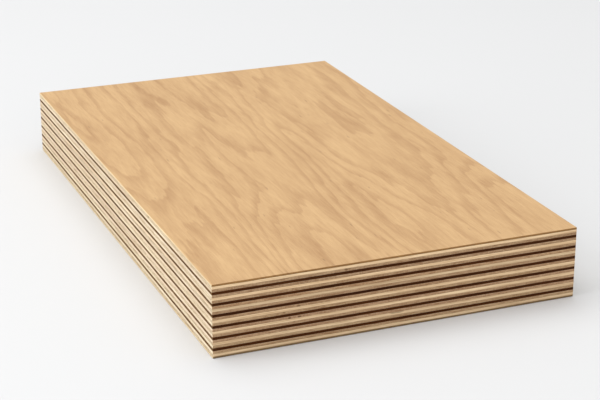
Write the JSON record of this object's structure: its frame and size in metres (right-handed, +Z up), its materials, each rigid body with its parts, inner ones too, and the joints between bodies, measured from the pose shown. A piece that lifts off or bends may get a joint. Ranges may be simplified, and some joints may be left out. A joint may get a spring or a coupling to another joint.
{
  "type": "thick plywood board",
  "caption": "Thick plywood board lying flat: a bonded stack of thin birch sheets with dark dyed veneers between them, sawn square.",
  "frame": {"origin": "centre of the underside, on the floor that the board lies on", "axes": "+Z up through the stack of plies, +Y along the board and the grain of its face plies, +X across it"},
  "size_m": [0.19, 0.32, 0.037],
  "materials": {
    "face_veneer": "satin",
    "long_veneer": "sanded",
    "core_veneer": "sanded",
    "dark_veneer": "sanded"
  },
  "bodies": {
    "root": {"sheet_1_lower_ply": "face_veneer", "sheet_1_core_ply": "core_veneer", "sheet_1_upper_ply": "long_veneer", "dark_veneer_1": "dark_veneer", "sheet_2_lower_ply": "long_veneer", "sheet_2_core_ply": "core_veneer", "sheet_2_upper_ply": "long_veneer", "dark_veneer_2": "dark_veneer", "sheet_3_lower_ply": "long_veneer", "sheet_3_core_ply": "core_veneer", "sheet_3_upper_ply": "long_veneer", "dark_veneer_3": "dark_veneer", "sheet_4_lower_ply": "long_veneer", "sheet_4_core_ply": "core_veneer", "sheet_4_upper_ply": "long_veneer", "dark_veneer_4": "dark_veneer", "sheet_5_lower_ply": "long_veneer", "sheet_5_core_ply": "core_veneer", "sheet_5_upper_ply": "long_veneer", "dark_veneer_5": "dark_veneer", "sheet_6_lower_ply": "long_veneer", "sheet_6_core_ply": "core_veneer", "sheet_6_upper_ply": "long_veneer", "dark_veneer_6": "dark_veneer", "sheet_7_lower_ply": "long_veneer", "sheet_7_core_ply": "core_veneer", "sheet_7_upper_ply": "face_veneer"}
  },
  "joints": []
}
